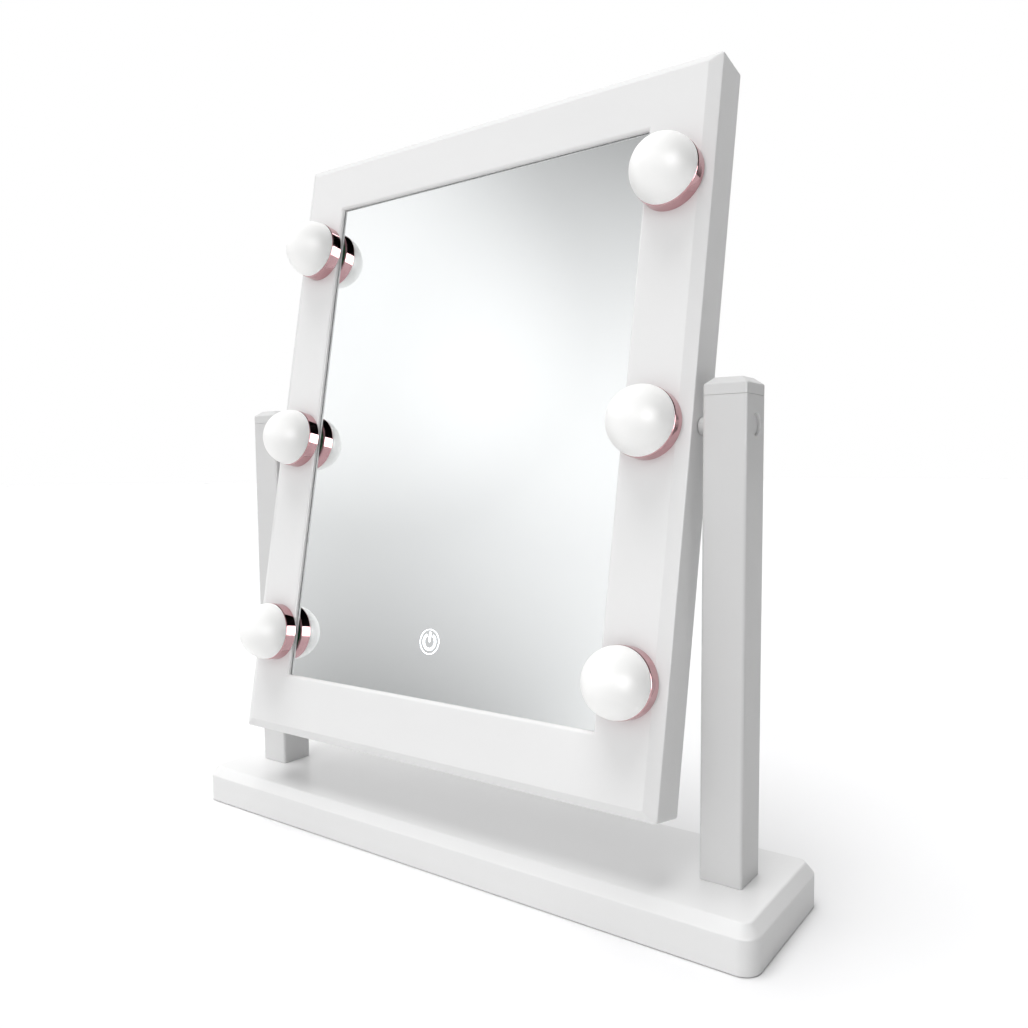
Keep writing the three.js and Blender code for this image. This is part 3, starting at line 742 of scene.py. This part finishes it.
def make_glass_pieces(glass, silver, mark):
    """The clear front of the glass, the silver layer that fills the rest of it, and the glowing mark between,
    whose glow is partly painted light.
    """
    low, high = box_in(HEAD, "mirror_glass")
    clear, gap = 0.3, 0.04
    silver_face = high.z - clear - gap
    bevels = ((0.1, high.z - clear), (0.0, high.z - clear + 0.1), (0.0, high.z - 0.15), (0.15, high.z))
    bm = bmesh.new()
    loops = box_loops(low, high, [(i, z, 1.0 - i) for i, z in bevels], 3)
    loft(bm, loops, cap_first=True, cap_last=True)
    piece("clear_glass", bm, HEAD, "mirror_head", glass, ["mirror_glass"], 20)

    bm = bmesh.new()
    inset, corner = 0.2, 0.8
    loops = box_loops(low, high, [(inset, low.z, corner), (inset, silver_face, corner)], 3)
    loft(bm, loops, cap_first=True, cap_last=True)
    piece("silver_layer", bm, HEAD, "mirror_head", silver, crease=20)

    sensor_low, sensor_high = box_in(HEAD, "touch_sensor")
    middle = (sensor_low + sensor_high) / 2
    lift, thickness = 0.01, 0.03
    stroke_half, stroke_from, stroke_to = 0.62, -0.2, 5.3
    base = silver_face + lift
    bm = bmesh.new()

    def along(radius, angles):
        return [Vector((middle.x + radius * math.cos(a), middle.y + radius * math.sin(a))) for a in angles]

    def band(outer, inner, start, end, steps):
        """A flat band round the mark's middle, between two angles in degrees."""
        angles = [math.radians(start + (end - start) * i / steps) for i in range(steps + 1)]
        return along(outer, angles) + along(inner, reversed(angles))

    def both_faces(loop):
        return [at_height(loop, base), at_height(loop, base + thickness)]

    stroke = rectangle(middle.x - stroke_half, middle.x + stroke_half,
                       middle.y + stroke_from, middle.y + stroke_to, 0.4, 4)
    for loop in (band(4.6, 3.3, 122, 418, 60), stroke):
        loft(bm, both_faces(loop), cap_first=True, cap_last=True)
    outside, inside = (circle(middle.x, middle.y, r, FINE) for r in (6.7, 6.25))
    plate(bm, both_faces(outside), [(both_faces(inside), False)])
    piece("touch_mark", bm, HEAD, "mirror_head", mark)


# ---------------------------------------------------------------- head: bulbs
def make_bulb(place, rose_gold, opal):
    """One lamp: a plated collar on the bezel, and a hollow opal globe standing in it."""
    low, high = box_in(HEAD, f"bulb_ring_{place}")
    centre = (low + high) / 2
    radius = (high.x - low.x) / 2
    lip, lift = 1.5, 0.03
    face = box_in(HEAD, "front_bezel")[1].z + lift
    outline = fillet([
        (radius - lip, face, 0),
        (radius, face, 0.15),
        (radius, high.z, 0.6),
        (radius - lip, high.z, 0.3),
    ], 8)
    spot = Matrix.Translation((centre.x, centre.y, 0))
    bm = bmesh.new()
    turned(bm, outline, close=True, place=spot)
    piece(f"bulb_collar_{place}", bm, HEAD, "mirror_head", rose_gold, [f"bulb_ring_{place}"])

    dome_low, dome_high = box_in(HEAD, f"bulb_dome_{place}")
    globe = (dome_high.x - dome_low.x) / 2
    middle = dome_high.z - globe
    wall, skirt = 1.3, radius - lip - 0.2
    profile = arc(globe, middle, 90, 2, 30)
    profile += [(globe - 0.1, middle + 0.25), (globe - 0.4, middle + 0.12), (skirt, middle + 0.12)]
    profile += [(skirt, dome_low.z), (skirt - wall, dome_low.z), (skirt - wall, middle)]
    profile += arc(globe - wall, middle, 12, 90, 20)
    profile[0] = (0, profile[0][1])
    profile[-1] = (0, profile[-1][1])
    bm = bmesh.new()
    turned(bm, profile, place=spot)
    piece(f"bulb_globe_{place}", bm, HEAD, "mirror_head", opal, [f"bulb_dome_{place}"])


# ---------------------------------------------------------------- head: rear cover, door, screws and socket
def make_back(white, steel, black):
    """The rear panel, with mouths for the door, the socket and the screws, and what stands in them."""
    low, high = box_in(HEAD, "rear_cover")
    door_low, door_high = box_in(HEAD, "battery_door")
    screw_mouth, screw_bore, screw_depth = 3.1, 1.6, 1.4
    screws = ["top_left", "top_right", "bottom_left", "bottom_right"]
    gap, round_edge = 0.3, 0.4

    def rounded_hole(first, last, radius):
        """A hole through the cover round a box, with a gap and a rounded mouth, from its outside in."""
        rows = [(-0.3, low.z), (-0.09, low.z + 0.09), (0.0, low.z + 0.3), (0.0, high.z)]
        return box_loops(first, last, [(i - gap, z, radius - i) for i, z in rows], 5)

    corner = 1.2
    outer = box_loops(low, high, [
        (round_edge, low.z, corner),
        (round_edge * 0.3, low.z + round_edge * 0.3, corner),
        (0, low.z + round_edge, corner),
        (0, high.z, corner),
    ], 5)
    holes = [(rounded_hole(door_low, door_high, 2.0), False)]
    holes.append((rounded_hole(*box_in(HEAD, "power_socket"), 1.0), False))
    for place in screws:
        screw_low, screw_high = box_in(HEAD, f"cover_screw_{place}")
        x, y = (screw_low.x + screw_high.x) / 2, (screw_low.y + screw_high.y) / 2
        rows = [
            (screw_mouth + 0.3, low.z),
            (screw_mouth + 0.06, low.z + 0.1),
            (screw_mouth, low.z + 0.3),
            (screw_mouth, low.z + screw_depth),
            (screw_bore, low.z + screw_depth),
            (screw_bore, high.z),
        ]
        holes.append(([at_height(circle(x, y, r, 48), z) for r, z in rows], False))
    bm = bmesh.new()
    plate(bm, outer, holes)
    piece("back_panel", bm, HEAD, "mirror_head", white, ["rear_cover"])

    for place in screws:
        make_screw(place, steel)
    make_door(white)
    make_socket(black, steel)


def make_screw(place, steel):
    """A cross-head screw: a low crowned head with the driver's recess, on a plain shank."""
    low, high = box_in(HEAD, f"cover_screw_{place}")
    x, y = (low.x + high.x) / 2, (low.y + high.y) / 2
    radius, height, shank, point = 2.8, 1.1, 1.2, 0.5
    length = high.z - low.z
    crown = [(0, 0), (1.0, 0.02), (1.8, 0.12), (2.4, 0.34), (2.72, 0.6), (radius, 0.8)]
    profile = crown + [(radius, height), (shank, height), (shank, length - 0.6), (point, length), (0, length)]
    bm = bmesh.new()
    turned(bm, profile, sides=48)
    slot_reach, slot_half = 1.55, 0.32
    for reach_x, reach_y in ((slot_reach, slot_half), (slot_half, slot_reach)):
        loops = [
            at_height(block(0, 0, reach_x * share, reach_y * share, 0.08, 2), z)
            for share, z in ((1.0, -0.5), (1.0, 0.1), (0.45, 0.75))
        ]
        slot = bmesh.new()
        loft(slot, loops, cap_first=True, cap_last=True)
        bm = cut(bm, slot)
    spot = HEAD @ Matrix.Translation((x, y, low.z))
    piece(f"panel_screw_{place}", bm, spot, "mirror_head", steel, [f"cover_screw_{place}"], 30)


def make_door(white):
    """The battery door: a flat lid with a thumb hollow and grip ribs under its free edge."""
    low, high = box_in(HEAD, "battery_door")
    edge, corner = 0.35, 1.8
    grip_width, grip_height, grip_corner = 11, 5, 4.8
    count, pitch, rib_width, rib_height, rib_corner = 4, 1.9, 7.5, 0.5, 0.49
    middle_x, grip_y = (low.x + high.x) / 2, high.y - 8.0
    rows = (
        (edge, low.z), (edge * 0.3, low.z + edge * 0.3), (0, low.z + edge), (0, high.z - 0.1), (0.1, high.z),
    )
    loops = box_loops(low, high, [(i, z, corner - i) for i, z in rows], 5)
    hollow = [
        at_height(block(middle_x, grip_y, grip_width - i, grip_height - i, grip_corner - i, 8), low.z + depth)
        for i, depth in ((0.0, 0.0), (0.25, 0.06), (0.6, 0.3), (1.0, 0.65), (1.6, 0.8))
    ]
    bm = bmesh.new()
    plate(bm, loops, [(hollow, True)])
    for number in range(count):
        y = grip_y + (number - (count - 1) / 2) * pitch
        rib = [
            at_height(block(middle_x, y, rib_width - i, rib_height - i, rib_corner - i, 4), low.z + depth)
            for i, depth in ((0.0, 0.9), (0.0, 0.3), (0.08, 0.12), (0.25, 0.02))
        ]
        loft(bm, rib, cap_first=True, cap_last=True)
    piece("battery_lid", bm, HEAD, "battery_door", white, ["battery_door"])


def make_socket(black, steel):
    """The power socket: a black block with a round mouth and a pin in the middle."""
    low, high = box_in(HEAD, "power_socket")
    x, y = (low.x + high.x) / 2, (low.y + high.y) / 2
    corner = 0.8
    rows = [(0.4, low.z, corner), (0.1, low.z + 0.1, corner), (0, low.z + 0.4, corner), (0, high.z, corner)]
    outer = box_loops(low, high, rows, 5)
    mouth = [(3.3, 0.0), (3.05, 0.1), (2.9, 0.35), (2.9, 10.0)]
    bm = bmesh.new()
    plate(bm, outer, [([at_height(circle(x, y, r, 48), low.z + d) for r, d in mouth], True)])
    piece("dc_socket", bm, HEAD, "mirror_head", black, ["power_socket"])

    bm = bmesh.new()
    pin, root = 1.0, 9.98
    profile = [(0, 1.0), (0.55, 1.05), (0.85, 1.25), (pin, 1.7), (pin, root), (0, root)]
    turned(bm, profile, sides=SMALL, place=Matrix.Translation((x, y, low.z)))
    piece("dc_pin", bm, HEAD, "mirror_head", steel)


# ---------------------------------------------------------------- head: battery bay
def make_battery_bay(cell, steel):
    """Four AA cells, with a coil spring behind each row's flat end and a button for its nub."""
    for row in ("upper", "lower"):
        for column in ("left", "right"):
            make_cell(row, column, cell, steel)
        make_cell_contacts(row, steel)


def make_cell(row, column, cell, steel):
    """A sleeved cell with a bare flat end and a bare nub. The lower row lies the other way round."""
    node = f"battery_cell_{row}_{column}"
    low, high = box_in(HEAD, node)
    middle = (low + high) / 2
    radius, length = (high.z - low.z) / 2, high.x - low.x
    nub, bare, end_round = 1.1, 5.0, 0.9
    body = length - nub
    profile = [(0, 0), (4.5, 0), (4.8, 0.3)]
    profile += [tuple(p) for p in fillet([
        (5.2, 0.3, 0),
        (5.6, 0, 0.15),
        (radius, 0, end_round),
        (radius, body, end_round),
        (3.8, body, 0.15),
        (3.5, body - 0.4, 0),
    ], 4)]
    profile += [(2.7, body - 0.4), (2.7, length - 0.5), (2.55, length - 0.15), (2.2, length), (0, length)]
    bm = bmesh.new()
    turned(bm, profile, sides=64)
    for face in bm.faces:
        point = face.calc_center_median()
        if math.hypot(point.x, point.y) < bare and not 0.35 < point.z < body - 0.45:
            face.material_index = 1
    turn, start = (math.pi / 2, low.x) if row == "upper" else (-math.pi / 2, high.x)
    spot = Matrix.Translation((start, middle.y, middle.z)) @ Matrix.Rotation(turn, 4, "Y")
    piece(f"aa_{row}_{column}", bm, HEAD @ spot, "mirror_head", [cell, steel], [node])


def make_cell_contacts(row, steel):
    """The spring and the button at the two ends of a row of cells."""
    first, last = box_in(HEAD, f"battery_cell_{row}_left"), box_in(HEAD, f"battery_cell_{row}_right")
    left_face = box_in(HEAD, "battery_contact_left")[1].x
    right_face = box_in(HEAD, "battery_contact_right")[0].x
    middle = (first[0] + first[1]) / 2
    room = first[0].x - left_face
    slack, wire, turns, wide, narrow = 0.05, 0.3, 2.75, 3.9, 2.3
    height = right_face - last[1].x - slack
    at_left = Matrix.Translation((left_face, middle.y, middle.z)) @ Matrix.Rotation(math.pi / 2, 4, "Y")
    at_right = Matrix.Translation((right_face, middle.y, middle.z)) @ Matrix.Rotation(-math.pi / 2, 4, "Y")
    spring_end, button_end = (at_left, at_right) if row == "upper" else (at_right, at_left)

    bm = bmesh.new()
    coil(bm, wide, narrow, room - slack, turns, wire)
    piece(f"cell_spring_{row}", bm, HEAD @ spring_end, "mirror_head", steel)

    profile = [(0, 0), (2.6, 0), (2.35, 0.4), (1.9, height - 0.3), (1.6, height - 0.05), (0, height)]
    bm = bmesh.new()
    turned(bm, profile, sides=SMALL)
    piece(f"cell_button_{row}", bm, HEAD @ button_end, "mirror_head", steel)


# ---------------------------------------------------------------- build
def finish_inner_nodes(finishes):
    """Gives every CAD node that stays its material, from the slot that the record names for it."""
    for row in frame["record"]["subparts"]:
        node = frame["nodes"][row["node"]]
        if node.hide_render:
            continue
        node.data.materials.clear()
        node.data.materials.append(finishes[row["material_slot"]])


def build():
    bpy.context.scene.view_settings.view_transform = "Standard"
    make_camera()
    make_world()
    make_lights()
    make_floor_piece()

    # The posts get a darker copy of the white plastic. This is painted shade: they are the same plastic as the
    # frame and only take less light.
    white_shade, post_tone_painted_shade = 0.844, 0.69
    white = make_white_plastic("white_plastic", white_shade)
    post_white_painted_shade = make_white_plastic("post_plastic_painted_shade", post_tone_painted_shade)
    inner, steel = make_white_inner(), make_steel()
    rubber, rose_gold, opal = make_rubber(), make_rose_gold(), make_opal()
    silver, glass, mark = make_silver(), make_glass(), make_mark()
    black = make_black_plastic()
    cells_low = box_in(HEAD, "battery_cell_upper_left")[0].x
    cells_high = box_in(HEAD, "battery_cell_upper_right")[1].x
    cell = make_cell_sleeve(cells_low, cells_high)

    make_base(white, rubber)
    for side, sign in (("left", -1), ("right", 1)):
        make_post(side, sign, post_white_painted_shade)
    make_bezel(white)
    make_glass_pieces(glass, silver, mark)
    for side in ("left", "right"):
        for level in ("top", "middle", "bottom"):
            make_bulb(f"{side}_{level}", rose_gold, opal)
    make_back(white, steel, black)
    make_battery_bay(cell, steel)
    finish_inner_nodes({
        "white_plastic": white, "white_inner": inner, "rubber": rubber, "steel": steel, "mirror": silver,
        "foam": make_foam(), "circuit": make_circuit(), "rose_gold": rose_gold, "opal": opal, "cell": cell,
        "black_plastic": black, "cable": make_cable(),
    })


build()
